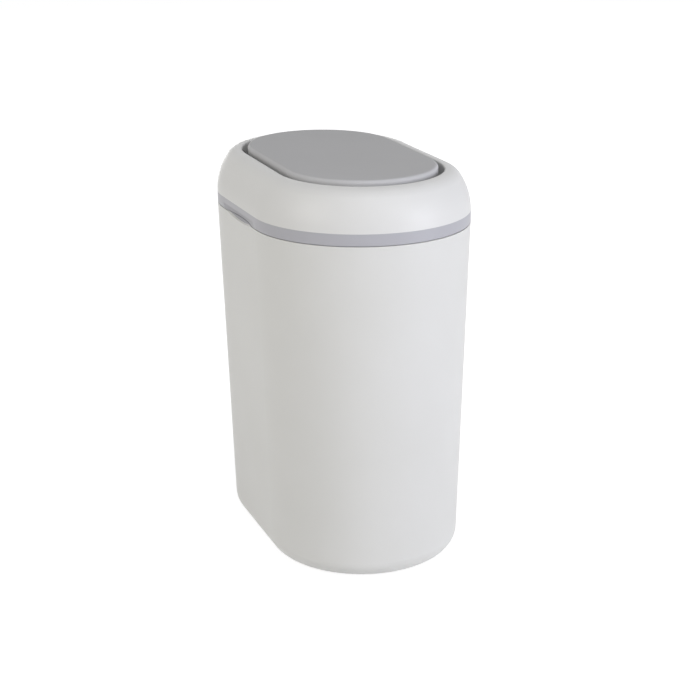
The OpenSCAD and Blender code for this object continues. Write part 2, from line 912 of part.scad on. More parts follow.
module right_flap_solid() {
    plate_z = flap_z - flap_t;
    knuckle_y = flap_ear_y - move_gap - flap_knuckle_len;
    rib_middle = flap_rib_r + flap_rib_t / 2;
    notch_half = trap_wire_r + move_gap;
    difference() {
        union() {
            right_half(flap_rib_z, flap_z)
                sweep() {
                    section(0, flap_r, plate_z, flap_z);
                    section(flap_rib_r, flap_rib_r + flap_rib_t, flap_rib_z, plate_z);
                }
            block(
                [flap_half_gap, -spine_half - rib_middle, flap_rib_z],
                [flap_half_gap + flap_rib_t, spine_half + rib_middle, plate_z]
            );
            for (y = [-flap_rib_pitch / 2, flap_rib_pitch / 2])
                block(
                    [flap_half_gap, y - flap_rib_t / 2, flap_rib_z],
                    [rib_middle, y + flap_rib_t / 2, plate_z]
                );
            for (end = [0, 1])
                mirror([0, end, 0]) {
                    bar_y(
                        flap_knuckle_r, knuckle_y, knuckle_y + flap_knuckle_len,
                        flap_axis_x, flap_axis_z
                    );
                    block(
                        [rib_middle, knuckle_y, plate_z],
                        [flap_axis_x, knuckle_y + flap_knuckle_len, flap_z]
                    );
                }
        }
        bar_y(flap_pin_r + run_gap, -flap_pin_len, flap_pin_len, flap_axis_x, flap_axis_z);
        block(
            [flap_rib_r - over, -trap_coil_len / 2 - notch_half, flap_rib_z - over],
            [flap_r + over, -trap_coil_len / 2 + notch_half, plate_z]
        );
    }
}

module right_flap() {
    color(grey_plastic)
        right_flap_solid();
}

module left_flap() {
    color(grey_plastic)
        mirror([1, 0, 0])
            right_flap_solid();
}

module right_flap_seal() {
    color(soft_seal)
        right_half(flap_z, flap_z + flap_seal_t)
            sweep()
                section(
                    outlet_r + (chute_wall - flap_seal_w) / 2, outlet_r + (chute_wall + flap_seal_w) / 2,
                    flap_z, flap_z + flap_seal_t
                );
}

module left_flap_seal() {
    mirror([1, 0, 0])
        right_flap_seal();
}

module flap_pin(side) {
    color(steel)
        bar_y(flap_pin_r, -flap_pin_len / 2, flap_pin_len / 2, side * flap_axis_x, flap_axis_z);
}

module right_flap_pin() {
    flap_pin(1);
}

module left_flap_pin() {
    flap_pin(-1);
}

// Torsion spring on the left pin: one leg leans on the chute, the other lifts the flap
trap_lean = 127;
trap_end = 270 + 3 * 360;
trap_coil_len = trap_pitch * (trap_end - trap_lean) / 360;
trap_lean_x = flap_axis_x - outlet_r - chute_wall - trap_wire_r - leg_gap;
trap_line = coil_line(
    trap_coil_r, trap_pitch, trap_lean, trap_end,
    (trap_lean_x - trap_coil_r * cos(trap_lean)) / sin(trap_lean), trap_leg_len
);

module left_flap_spring() {
    color(steel)
        translate([-flap_axis_x, trap_coil_len / 2, flap_axis_z])
            rotate([90, 0, 0])
                wire(trap_line, trap_wire_r);
}

module right_flap_spring() {
    mirror([1, 0, 0])
        left_flap_spring();
}

// ---- Touch catch ----

module catch_barrel() {
    color(grey_plastic)
        translate([0, catch_y, 0])
            difference() {
                union() {
                    translate([0, 0, catch_z])
                        cylinder(h = catch_top - catch_z, r = catch_r);
                    translate([0, 0, well_z])
                        cylinder(h = catch_flange_t, r = catch_r + catch_flange_w);
                }
                translate([0, 0, catch_floor_z])
                    cylinder(h = catch_top, r = plunger_r + run_gap);
            }
}

module catch_plunger() {
    color(inner_white)
        translate([0, catch_y, plunger_z])
            difference() {
                cylinder(h = plunger_h, r = plunger_r);
                translate([0, 0, plunger_h - magnet_h])
                    cylinder(h = magnet_h + over, r = magnet_r);
            }
}

module catch_magnet() {
    color(magnet_grey)
        translate([0, catch_y, plunger_top - magnet_h])
            cylinder(h = magnet_h, r = magnet_r - hold_gap);
}

catch_spring_z = catch_floor_z + catch_wire_r;
catch_spring_h = plunger_z - catch_wire_r - catch_spring_z;
catch_line = coil_line(catch_coil_r, catch_spring_h / catch_turns, 0, 360 * catch_turns, 0, 0);

module catch_spring() {
    color(steel)
        translate([0, catch_y, catch_spring_z])
            wire(catch_line, catch_wire_r);
}

// ---- Lid ----

// Section of a slab with a rounded upper edge
module slab_area(r, z0, z1, round) {
    section(0, r - round, z0, z1);
    section(0, r, z0, z1 - round);
    translate([r - round, z1 - round])
        circle(r = round);
}

module lid_plate() {
    color(grey_plastic)
        difference() {
            union() {
                difference() {
                    sweep()
                        difference() {
                            slab_area(lid_r, panel_z, lid_z, lid_round);
                            slab_area(
                                lid_r - lid_wall, panel_z - over,
                                lid_z - lid_wall, lid_round - lid_wall
                            );
                        }
                    block(
                        [-lid_slot_half, lid_slot_y, panel_z - over],
                        [lid_slot_half, 2 * top_r, lid_z - lid_wall]
                    );
                }
                at_each(lid_screws_at)
                    translate([0, 0, panel_top])
                        cylinder(h = lid_z - lid_wall / 2 - panel_top, r = boss_r);
            }
            at_each(lid_screws_at)
                translate([0, 0, panel_z])
                    cylinder(h = lid_screw_len + pilot_spare, r = screw_r);
        }
}

module lid_panel() {
    arm_y = lid_slot_y - over;
    color(inner_white)
        difference() {
            union() {
                difference() {
                    sweep()
                        section(0, panel_r, panel_z, panel_top);
                    block(
                        [-lid_slot_half, lid_slot_y, panel_z - over],
                        [lid_slot_half, 2 * top_r, panel_top + over]
                    );
                }
                for (side = [0, 1])
                    mirror([side, 0, 0]) {
                        bar_x(
                            lid_knuckle_r, lid_knuckle_x, lid_knuckle_x + lid_knuckle_len,
                            lid_axis_y, lid_axis_z
                        );
                        block(
                            [lid_knuckle_x, arm_y, panel_z],
                            [lid_knuckle_x + lid_knuckle_len, lid_axis_y, panel_top]
                        );
                    }
            }
            bar_x(lid_pin_r + run_gap, -lid_ear_x, lid_ear_x, lid_axis_y, lid_axis_z);
            at_each(lid_screws_at)
                translate([0, 0, panel_z - over])
                    cylinder(h = panel_t + 2 * over, r = screw_r + move_gap);
        }
}

module lid_seal() {
    middle = (mouth_r + collar_r) / 2;
    color(soft_seal)
        sweep()
            section(middle - lid_seal_w / 2, middle + lid_seal_w / 2, panel_z - lid_seal_t, panel_z);
}

module lid_striker() {
    color(steel)
        translate([0, catch_y, striker_z])
            cylinder(h = striker_t, r = striker_r);
}

lid_screw_len = lid_z - lid_wall - panel_z;

module lid_screws() {
    color(steel)
        at_each(lid_screws_at) {
            translate([0, 0, panel_z - screw_head_h])
                cylinder(h = screw_head_h, r = screw_head_r);
            translate([0, 0, panel_z])
                cylinder(h = lid_screw_len, r = screw_r - hold_gap);
        }
}

module lid_hinge_pin() {
    color(steel)
        bar_x(lid_pin_r, -lid_pin_half, lid_pin_half, lid_axis_y, lid_axis_z);
}

// Torsion spring on the lid's pin: one leg stands in the well's floor, the other lifts the plate
lid_leg_tilt = 5;
lid_spring_end = 90 - lid_leg_tilt + 5 * 360;
lid_coil_len = lid_pitch * lid_spring_end / 360;
lid_leg_rise = lid_axis_depth - lid_wall - lid_wire_r - leg_gap - lid_coil_r * cos(lid_leg_tilt);
lid_line = coil_line(
    lid_coil_r, -lid_pitch, 0, lid_spring_end,
    lid_axis_z - well_z + well_floor_t / 2, lid_leg_rise / sin(lid_leg_tilt)
);

module lid_spring() {
    color(steel)
        translate([lid_coil_len / 2, lid_axis_y, lid_axis_z])
            rotate([90, 0, 90])
                wire(lid_line, lid_wire_r);
}

echo(trap_spring_gap = wire_gap(trap_line, trap_wire_r));
echo(lid_spring_gap = wire_gap(lid_line, lid_wire_r));
echo(catch_spring_gap = wire_gap(catch_line, catch_wire_r));

body_shell();
base_ring();
rim_frame();
head_hinge_pins();
liner_ring();
head_band();
rim_seal();
top_housing();
sloped() lid_well();
housing_screws();
sloped() chute();
sloped() chute_screws();
sloped() left_flap();
sloped() right_flap();
sloped() left_flap_seal();
sloped() right_flap_seal();
sloped() left_flap_pin();
sloped() right_flap_pin();
sloped() left_flap_spring();
sloped() right_flap_spring();
sloped() catch_barrel();
sloped() catch_spring();
sloped() catch_plunger();
sloped() catch_magnet();
sloped() lid_plate();
sloped() lid_panel();
sloped() lid_seal();
sloped() lid_striker();
sloped() lid_screws();
sloped() lid_hinge_pin();
sloped() lid_spring();
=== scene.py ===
"""Nappy bin: finishes, fine pieces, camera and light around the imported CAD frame."""

import math

import bmesh
import bpy
from mathutils import Matrix, Vector


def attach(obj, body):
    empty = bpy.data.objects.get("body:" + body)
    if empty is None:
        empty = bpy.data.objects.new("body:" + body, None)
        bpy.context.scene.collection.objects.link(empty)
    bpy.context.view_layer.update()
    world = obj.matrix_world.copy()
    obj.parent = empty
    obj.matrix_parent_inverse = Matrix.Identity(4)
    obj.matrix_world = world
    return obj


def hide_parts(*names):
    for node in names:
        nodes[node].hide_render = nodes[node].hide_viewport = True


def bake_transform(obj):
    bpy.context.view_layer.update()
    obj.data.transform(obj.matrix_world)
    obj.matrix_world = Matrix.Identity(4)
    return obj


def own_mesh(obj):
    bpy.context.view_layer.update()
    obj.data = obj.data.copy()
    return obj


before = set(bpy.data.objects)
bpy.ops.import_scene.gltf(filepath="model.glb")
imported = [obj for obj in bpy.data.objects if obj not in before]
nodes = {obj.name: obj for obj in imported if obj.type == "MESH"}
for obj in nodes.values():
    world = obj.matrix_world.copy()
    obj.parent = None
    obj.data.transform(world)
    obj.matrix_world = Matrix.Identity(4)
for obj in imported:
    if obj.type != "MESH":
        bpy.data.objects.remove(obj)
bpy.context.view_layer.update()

MM = 0.001
# Points closer than this are merged
MERGE = 0.001 * MM

# Half the distance between the centres of the plan's two round ends
SPINE = 53.5 * MM
# Height of the top of the grey band, and the slope of the lid and its well above it
BAND_TOP = 362.2 * MM
HEAD_SLOPE = math.radians(0.9)
# Height of the lid's top before it is sloped
LID_TOP = 408 * MM
# Depths below that top at which the highlight painted on the lid's edge starts, is full, fades and
# ends
EDGE_START, EDGE_FULL, EDGE_FADE, EDGE_END = 0.1 * MM, 0.9 * MM, 5 * MM, 7 * MM


# ---- Small helpers ----

def linear(code):
    """An sRGB hex colour as linear red, green, blue and alpha."""
    parts = [int(code[i:i + 2], 16) / 255 for i in (0, 2, 4)]
    return [c / 12.92 if c <= 0.04045 else ((c + 0.055) / 1.055) ** 2.4 for c in parts] + [1]


def add(tree, kind, settings=None, links=None):
    """A new node with its settings, and its inputs filled by values or by other nodes' sockets."""
    node = tree.nodes.new(kind)
    for name, value in (settings or {}).items():
        setattr(node, name, value)
    for name, value in (links or {}).items():
        if isinstance(value, bpy.types.NodeSocket):
            tree.links.new(value, node.inputs[name])
        else:
            node.inputs[name].default_value = value
    return node


def new_material(name):
    """An empty material with its output and the object's own coordinates."""
    material = bpy.data.materials.new(name)
    material.use_nodes = True
    tree = material.node_tree
    tree.nodes.clear()
    place = add(tree, "ShaderNodeTexCoord").outputs["Object"]
    return material, tree, place


def shoulder_slope():
    """The slope of the lid and its well, about the middle of the band's top."""
    pivot = Vector((0, 0, BAND_TOP))
    return (
        Matrix.Translation(pivot) @ Matrix.Rotation(HEAD_SLOPE, 4, "X") @ Matrix.Translation(-pivot))


def moulded(name, light, dark, roughness, grain_mm, depth_mm, ior=1.49):
    """Injection-moulded plastic or rubber: spark-eroded grain, a slight drift of tone and gloss."""
    drift_mm, pit_mm, gloss_drift = 90, 2.2 * grain_mm, 0.04
    material, tree, place = new_material(name)
    drift = add(tree, "ShaderNodeTexNoise", links={
        "Vector": place, "Scale": 1 / (drift_mm * MM), "Detail": 2.0, "Roughness": 0.5})
    tone = add(tree, "ShaderNodeMix", {"data_type": "RGBA"}, {
        "Factor": drift.outputs["Fac"], "A": linear(light), "B": linear(dark)})
    grain = add(tree, "ShaderNodeTexNoise", links={
        "Vector": place, "Scale": 1 / (grain_mm * MM), "Detail": 3.0, "Roughness": 0.6})
    pits = add(tree, "ShaderNodeTexVoronoi", {"feature": "SMOOTH_F1"}, {
        "Vector": place, "Scale": 1 / (pit_mm * MM), "Smoothness": 1.0})
    relief = add(tree, "ShaderNodeMath", {"operation": "ADD"}, {
        0: grain.outputs["Fac"], 1: pits.outputs["Distance"]})
    bump = add(tree, "ShaderNodeBump", links={
        "Height": relief.outputs["Value"], "Strength": 0.5, "Distance": depth_mm * MM})
    gloss = add(tree, "ShaderNodeMapRange", links={
        "Value": grain.outputs["Fac"], "From Min": 0.3, "From Max": 0.7,
        "To Min": roughness - gloss_drift, "To Max": roughness + gloss_drift})
    shader = add(tree, "ShaderNodeBsdfPrincipled", links={
        "Base Color": tone.outputs["Result"], "Roughness": gloss.outputs["Result"],
        "Normal": bump.outputs["Normal"], "IOR": ior})
    add(tree, "ShaderNodeOutputMaterial", links={"Surface": shader.outputs["BSDF"]})
    return material


def painted_edge_highlight(material, colour):
    """Painted highlight: a paler colour around the lid's rounded edge, standing for the front light
    on it, by the depth below its sloping top.
    """
    tree = material.node_tree
    place = next(node for node in tree.nodes if node.type == "TEX_COORD").outputs["Object"]
    shader = next(node for node in tree.nodes if node.type == "BSDF_PRINCIPLED")
    plain = shader.inputs["Base Color"].links[0].from_socket
    level = shoulder_slope().inverted()
    levelled = add(tree, "ShaderNodeMapping", links={
        "Vector": place, "Location": level.to_translation(), "Rotation": level.to_euler()})
    height = add(tree, "ShaderNodeSeparateXYZ", links={"Vector": levelled.outputs["Vector"]})
    below_top = add(tree, "ShaderNodeMapRange", links={
        "Value": height.outputs["Z"], "From Min": LID_TOP - EDGE_START,
        "From Max": LID_TOP - EDGE_FULL, "To Min": 0.0, "To Max": 1.0})
    above_skirt = add(tree, "ShaderNodeMapRange", links={
        "Value": height.outputs["Z"], "From Min": LID_TOP - EDGE_END,
        "From Max": LID_TOP - EDGE_FADE, "To Min": 0.0, "To Max": 1.0})
    share = add(tree, "ShaderNodeMath", {"operation": "MULTIPLY"}, {
        0: below_top.outputs["Result"], 1: above_skirt.outputs["Result"]})
    # Painted highlight: the edge's colour blends towards the paler grey
    tone = add(tree, "ShaderNodeMix", {"data_type": "RGBA"}, {
        "Factor": share.outputs["Value"], "A": plain, "B": linear(colour)})
    tree.links.new(tone.outputs["Result"], shader.inputs["Base Color"])


def drawn_metal(name, colour, roughness, line_mm):
    """Drawn or turned metal: fine lines along the part and a little tarnish."""
    tarnish, cloud_mm, line_depth_mm = "8b8f93", 6, 0.02
    material, tree, place = new_material(name)
    stretch = add(tree, "ShaderNodeMapping", links={
        "Vector": place, "Scale": (1.0, 0.08, 1.0)})
    lines = add(tree, "ShaderNodeTexNoise", links={
        "Vector": stretch.outputs["Vector"], "Scale": 1 / (line_mm * MM), "Detail": 4.0})
    cloud = add(tree, "ShaderNodeTexNoise", links={
        "Vector": place, "Scale": 1 / (cloud_mm * MM), "Detail": 2.0})
    tone = add(tree, "ShaderNodeMix", {"data_type": "RGBA"}, {
        "Factor": cloud.outputs["Fac"], "A": linear(colour), "B": linear(tarnish)})
    gloss = add(tree, "ShaderNodeMapRange", links={
        "Value": lines.outputs["Fac"], "To Min": roughness - 0.08, "To Max": roughness + 0.12})
    bump = add(tree, "ShaderNodeBump", links={
        "Height": lines.outputs["Fac"], "Strength": 0.3, "Distance": line_depth_mm * MM})
    shader = add(tree, "ShaderNodeBsdfPrincipled", links={
        "Base Color": tone.outputs["Result"], "Roughness": gloss.outputs["Result"],
        "Normal": bump.outputs["Normal"], "Metallic": 1.0})
    add(tree, "ShaderNodeOutputMaterial", links={"Surface": shader.outputs["BSDF"]})
    return material


# ---- Finishes ----

# Each plastic has two tones, a roughness, and the width and depth of its grain in millimetres.
# Each metal has a colour, a roughness and the width of its drawn lines in millimetres.

# White ABS with a fine spark-eroded skin: matt, with broad soft highlights
white_abs = moulded("spark_eroded_white_abs", "e5e5e3", "dfdfdc", 0.42, 0.7, 0.05)
# White ABS from a smoother tool on the housing: nearly the same colour with a rounder sheen
satin_abs = moulded("satin_white_abs", "e6e6e5", "e1e1df", 0.4, 0.9, 0.03)
# Grey ABS lid with a matt etched skin, which mirrors little even at a flat angle, and a highlight
# painted paler on its rounded edge
lid_abs = moulded("matt_grey_abs", "c3c3c4", "bdbdbe", 0.55, 0.6, 0.05, ior=1.22)
# The lid's rounded edge gets a painted highlight: a paler grey that stands for the front light
# falling on it
painted_edge_highlight(lid_abs, "cdcdcf")
# Grey polypropylene of the band and the rim's frame: satin, and a touch bluer than the lid
band_pp = moulded("satin_grey_polypropylene", "b9b9bf", "b3b3b9", 0.4, 0.6, 0.04)
# Natural white polypropylene of the inner mouldings: slightly waxy
inner_pp = moulded("waxy_white_polypropylene", "d6d7d6", "cdcfcd", 0.36, 1.1, 0.04)
# Darker grey polypropylene of the trap's flaps and the catch's barrel: plain satin
trap_pp = moulded("grey_polypropylene", "9d9ea1", "949598", 0.42, 0.8, 0.05)
# Soft thermoplastic rubber of the seals: dull, with a faint bloom
seal_rubber = moulded("grey_thermoplastic_rubber", "7b7d80", "6d6f72", 0.62, 0.5, 0.03)
# Dark non-slip rubber under the base: nearly black, with no shine
foot_rubber = moulded("dark_nonslip_rubber", "4c4d50", "434447", 0.7, 0.8, 0.08)
# Drawn stainless pins and springs: a clean grey shine with fine lines along the wire
pin_steel = drawn_metal("drawn_stainless_steel", "b4b7ba", 0.28, 0.25)
# Zinc-plated screws and striker: a greyer, softer shine
zinc_steel = drawn_metal("zinc_plated_steel", "a6a9ac", 0.36, 0.3)
# Sintered magnet under its nickel plate: a warmer, darker shine
nickel = drawn_metal("nickel_plated_magnet", "8e8b86", 0.25, 0.4)

FINISHES = {
    white_abs: ["body_shell"],
    satin_abs: ["top_housing", "lid_well"],
    lid_abs: ["lid_plate"],
    band_pp: ["head_band", "rim_frame"],
    inner_pp: ["liner_ring", "chute", "lid_panel", "catch_plunger"],
    trap_pp: ["left_flap", "right_flap", "catch_barrel"],
    seal_rubber: ["rim_seal", "lid_seal", "left_flap_seal", "right_flap_seal"],
    foot_rubber: ["base_ring"],
    pin_steel: [
        "head_hinge_pins", "lid_hinge_pin", "left_flap_pin", "right_flap_pin",
        "left_flap_spring", "right_flap_spring", "catch_spring", "lid_spring",
    ],
    zinc_steel: ["housing_screws", "chute_screws", "lid_screws", "lid_striker"],
    nickel: ["catch_magnet"],
}
for finish, names in FINISHES.items():
    for name in names:
        nodes[name].data.materials.clear()
        nodes[name].data.materials.append(finish)


# ---- Fine pieces ----

# This section's numbers are millimetres, taken before the slope. First come the undersides of the
# band's shelf, of the chute's flange and of the lid's panel, and the top of the well's floor
SHELF_UNDER, FLANGE_UNDER, PANEL_UNDER, WELL_FLOOR = 359.7, 376.2, 399.5, 389
# Distances of the screws from the spine, and their lengths under the head
HOUSING_SCREW_OUT, CHUTE_SCREW_OUT, LID_SCREW_OUT = 102.5, 70.5, 68.375
LONG_SCREW, SHORT_SCREW = 10, 6
# Distance from the middle of a straight side to its two screws
CHUTE_SCREW_Y, LID_SCREW_Y = 30, 35
# Top face of the trap's flaps, half of the gap between them, and the axis of a flap's pin
FLAP_TOP, FLAP_HALF_GAP = 330.4, 0.4
FLAP_PIN_X, FLAP_PIN_Z = 60, 330.2
# Distance of the chute's outlet from the spine, and the chute's wall
OUTLET_OUT, CHUTE_WALL = 50, 2.4
# Axis of the lid's pin
LID_PIN_Y, LID_PIN_Z = 121, 401
# Middle of the touch catch, and the height of its spring's lowest turn
CATCH_Y, CATCH_SPRING_Z = -121.95, 381.75
# Air between a spring's leg and what it leans on
LEG_GAP = 0.1


def finish_piece(name, shape, finish, body, place=None):
    """Closes a shape, puts it in its place and lets it stand for the CAD node of its name.

    It rides on the body, or on none if no body is given.
    """
    crease = math.radians(35)
    if place:
        bmesh.ops.transform(shape, matrix=place, verts=shape.verts)
    bmesh.ops.remove_doubles(shape, verts=shape.verts, dist=MERGE)
    bmesh.ops.recalc_face_normals(shape, faces=shape.faces)
    mesh = bpy.data.meshes.new(name + "_fine")
    shape.to_mesh(mesh)
    shape.free()
    mesh.shade_smooth()
    mesh.set_sharp_from_angle(angle=crease)
    mesh.materials.append(finish)
    piece = bpy.data.objects.new(name + "_fine", mesh)
    bpy.context.scene.collection.objects.link(piece)
    if body:
        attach(piece, body)
    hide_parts(name)
    return piece


def only(kind, geometry):
    """The vertices, edges or faces among mixed geometry."""
    return [item for item in geometry if isinstance(item, kind)]


def swept_ring(shape, section):
    """Sweeps a closed section of (radius, height) points around the stadium."""
    end_steps = 56
    points = [shape.verts.new((r * MM, SPINE, z * MM)) for r, z in section]
    moving = points + [shape.edges.new(pair) for pair in zip(points, points[1:] + points[:1])]
    for centre in (SPINE, -SPINE):
        turned = bmesh.ops.spin(
            shape, geom=moving, cent=(0, centre, 0), axis=(0, 0, 1), dvec=(0, 0, 0),
            angle=math.pi, steps=end_steps, use_duplicate=False)
        straight = bmesh.ops.extrude_edge_only(
            shape, edges=only(bmesh.types.BMEdge, turned["geom_last"]))
        far = only(bmesh.types.BMVert, straight["geom"])
        bmesh.ops.translate(shape, vec=(0, -2 * centre, 0), verts=far)
        moving = far + [
            edge for edge in only(bmesh.types.BMEdge, straight["geom"])
            if all(end in far for end in edge.verts)]
    bmesh.ops.remove_doubles(shape, verts=shape.verts, dist=MERGE)


def soften(shape, radius):
    """Rounds the moulded edges of a soft piece."""
    least_angle = math.radians(25)
    sharp = [
        edge for edge in shape.edges
        if len(edge.link_faces) == 2 and edge.calc_face_angle() > least_angle]
    bmesh.ops.bevel(
        shape, geom=sharp, offset=radius * MM, offset_type="OFFSET", segments=2, profile=0.5,
        affect="EDGES", clamp_overlap=True, material=-1)


def rim_seal():
    """Two-lipped seal under the band: a solid back between its ribs and a hollow sole."""
    shape = bmesh.new()
    swept_ring(shape, [
        (94.15, SHELF_UNDER), (97.95, SHELF_UNDER), (97.95, 355.3), (97.35, 354.5), (97.3, 353.2),
        (97.95, 351.5), (97.75, 350.7), (97.25, 350.5), (96.75, 351.2), (96.05, 352.4),
        (95.35, 351.2), (94.85, 350.5), (94.35, 350.7), (94.15, 351.5), (94.8, 353.2),
        (94.75, 354.5), (94.15, 355.3)])
    soften(shape, 0.12)
    finish_piece("rim_seal", shape, seal_rubber, "head")


def lid_seal():
    """Bead under the lid: a thin glued foot on each side of a round crown."""
    shape = bmesh.new()
    swept_ring(shape, [
        (59.45, PANEL_UNDER), (62.95, PANEL_UNDER), (62.95, 399.1), (62.5, 398.9), (62.15, 398.6),
        (61.95, 398.15), (61.6, 397.88), (61.2, 397.8), (60.8, 397.88), (60.45, 398.15),
        (60.25, 398.6), (59.9, 398.9), (59.45, 399.1)])
    soften(shape, 0.08)
    finish_piece("lid_seal", shape, seal_rubber, "lid", shoulder_slope())


def flap_seal(name, body, side):
    """Half of the trap's flat seal, with a raised track where the outlet's edge comes down."""
    shape = bmesh.new()
    swept_ring(shape, [
        (48.7, FLAP_TOP), (53.7, FLAP_TOP), (53.7, 331.1), (53.3, 331.4), (52.75, 331.5),
        (52.45, 331.82), (52.1, 331.9), (50.3, 331.9), (49.95, 331.82), (49.65, 331.5),
        (49.1, 331.4), (48.7, 331.1)])
    soften(shape, 0.07)
    cut = bmesh.ops.bisect_plane(
        shape, geom=shape.verts[:] + shape.edges[:] + shape.faces[:], dist=MERGE,
        plane_co=(side * FLAP_HALF_GAP * MM, 0, 0), plane_no=(side, 0, 0), clear_inner=True)
    bmesh.ops.holes_fill(shape, edges=only(bmesh.types.BMEdge, cut["geom_cut"]), sides=0)
    finish_piece(name, shape, seal_rubber, body, shoulder_slope())


def foot_ring():
    """Non-slip ring under the base, with three grooves in its tread."""
    inner, outer, thick, chamfer = 71, 78, 2.2, 0.35
    half_mouth, half_bed, groove_depth = 0.5, 0.3, 0.5
    shape = bmesh.new()
    grooves = []
    for middle in (76.3, 74.5, 72.7):
        grooves += [
            (middle + half_mouth, 0), (middle + half_bed, groove_depth),
            (middle - half_bed, groove_depth), (middle - half_mouth, 0)]
    swept_ring(shape, [
        (inner, chamfer), (inner, thick), (outer, thick), (outer, chamfer), (outer - chamfer, 0),
        *grooves, (inner + chamfer, 0)])
    soften(shape, 0.1)
    finish_piece("base_ring", shape, foot_rubber, "bin")


def drawn_ring(shape, edges, radius, height):
    """Extrudes an open round edge to a new radius and height; gives the new edge."""
    made = bmesh.ops.extrude_edge_only(shape, edges=edges)["geom"]
    fresh = only(bmesh.types.BMVert, made)
    for point in fresh:
        point.co = Vector((*(point.co.xy.normalized() * radius * MM), height * MM))
    return [
        edge for edge in only(bmesh.types.BMEdge, made) if all(end in fresh for end in edge.verts)]


def pan_screw(shape, length):
    """Pan-head screw for plastic, its head's flat side at 0 and its point upwards."""
    head_height, crown, slot_reach, half_slot = 1.6, 1.6, 1.05, 0.28
    slot_depth, slot_taper = 0.95, 0.72
    # The top of the head is a grid drawn out to a round, whose middle lines bound the cross slot
    lines = [-crown, -slot_reach, -half_slot, half_slot, slot_reach, crown]
    grid = bmesh.ops.create_grid(shape, x_segments=5, y_segments=5, size=1)["verts"]
    steps = sorted({round(point.co.x, 3) for point in grid})
    for point in grid:
        x, y = (lines[steps.index(round(c, 3))] for c in point.co.xy)
        point.co = (x * MM, y * MM, -head_height * MM)
    edge_now = [edge for edge in shape.edges if edge.is_boundary]
    for point in {end for edge in edge_now for end in edge.verts}:
        point.co.xy = point.co.xy.normalized() * crown * MM
    middles = {face: face.calc_center_bounds() / MM for face in shape.faces}
    cross = [
        face for face, c in middles.items()
        if min(abs(c.x), abs(c.y)) < half_slot and max(abs(c.x), abs(c.y)) < slot_reach]
    sunk = only(
        bmesh.types.BMVert, bmesh.ops.extrude_face_region(shape, geom=cross)["geom"])
    bmesh.ops.scale(shape, vec=(slot_taper, slot_taper, 1), verts=sunk)
    bmesh.ops.translate(shape, vec=(0, 0, slot_depth * MM), verts=sunk)
    bmesh.ops.delete(
        shape, geom=[face for face in cross if face.is_valid], context="FACES_ONLY")
    # The round of the head, its flat side, then the core of the thread and the point
    for radius, height in [
            (2.05, -1.5), (2.38, -1.22), (2.55, -0.85), (2.6, -0.45), (2.6, -0.12), (2.5, 0),
            (0.92, 0), (0.92, length - 1.7), (0.5, length - 0.5), (0.14, length)]:
        edge_now = drawn_ring(shape, edge_now, radius, height)
    bmesh.ops.holes_fill(shape, edges=edge_now, sides=0)
    # The thread is a ridge of its own around the core
    pitch, turns, turn_steps = 1.0, length - 2.4, 20
    thread = [(0.85, 0.3), (1.23, 0.55), (0.85, 0.8)]
    ridge = [shape.verts.new((r * MM, 0, z * MM)) for r, z in thread]
    face = shape.faces.new(ridge)
    bmesh.ops.spin(
        shape, geom=[*ridge, *face.edges, face], cent=(0, 0, 0), axis=(0, 0, 1),
        dvec=(0, 0, pitch * MM / turn_steps), angle=2 * math.pi * turns,
        steps=round(turn_steps * turns), use_duplicate=False)


def screws(name, body, length, height, places, place=None):
    """A set of screws with their heads' flat sides at one height, each turned its own way."""
    shape = bmesh.new()
    pan_screw(shape, length)
    pattern = shape.verts[:] + shape.edges[:] + shape.faces[:]
    for x, y in places:
        copy = bmesh.ops.duplicate(shape, geom=pattern)["geom"]
        fresh = only(bmesh.types.BMVert, copy)
        bmesh.ops.rotate(
            shape, verts=fresh, cent=(0, 0, 0), matrix=Matrix.Rotation(x + 2 * y, 3, "Z"))
        bmesh.ops.translate(shape, vec=(x * MM, y * MM, height * MM), verts=fresh)
    bmesh.ops.delete(shape, geom=only(bmesh.types.BMVert, pattern), context="VERTS")
    finish_piece(name, shape, zinc_steel, body, place)


def side_places(radius, y):
    """Places on both straight sides."""
    return [(x, end) for x in (-radius, radius) for end in (-y, y)]


def end_places(radius, angles):
    """Places around the round ends; positive angles lie at the back."""
    return [
        (radius * math.cos(math.radians(a)),
         math.copysign(SPINE / MM, a) + radius * math.sin(math.radians(a)))
        for a in angles]


def wound_wire(shape, radius, pitch, start, end, leg_in, leg_out, wire):
    """Round wire wound about Z between two angles in degrees, with a straight leg on each end."""
    wire_sides, step_angle = 12, 12
    steps = math.ceil((end - start) / step_angle)
    first, turn = math.radians(start), math.radians(end - start)
    along = Vector((-math.sin(first), math.cos(first), 0))
    tip = bmesh.ops.create_circle(
        shape, cap_ends=True, segments=wire_sides, radius=wire * MM)["verts"]
    bmesh.ops.transform(shape, verts=tip, matrix=(
        Matrix.Translation(Vector((math.cos(first), math.sin(first), 0)) * radius * MM)
        @ Vector((0, 0, 1)).rotation_difference(along).to_matrix().to_4x4()))
    near = shape.faces[:]
    made = bmesh.ops.spin(
        shape, geom=[*tip, *near[0].edges, *near], cent=(0, 0, 0), axis=(0, 0, 1),
        dvec=(0, 0, pitch * MM * (end - start) / 360 / steps), angle=turn, steps=steps,
        use_duplicate=False)
    far = only(bmesh.types.BMFace, made["geom_last"])
    # A leg runs straight on from the coil's end
    onward = Matrix.Rotation(turn, 3, "Z") @ along
    for caps, leg in ((near, -leg_in * along), (far, leg_out * onward)):
        if leg.length > 0:
            drawn = bmesh.ops.extrude_face_region(shape, geom=caps)["geom"]
            bmesh.ops.translate(shape, vec=leg * MM, verts=only(bmesh.types.BMVert, drawn))
            bmesh.ops.delete(
                shape, geom=[face for face in caps if face.is_valid], context="FACES_ONLY")


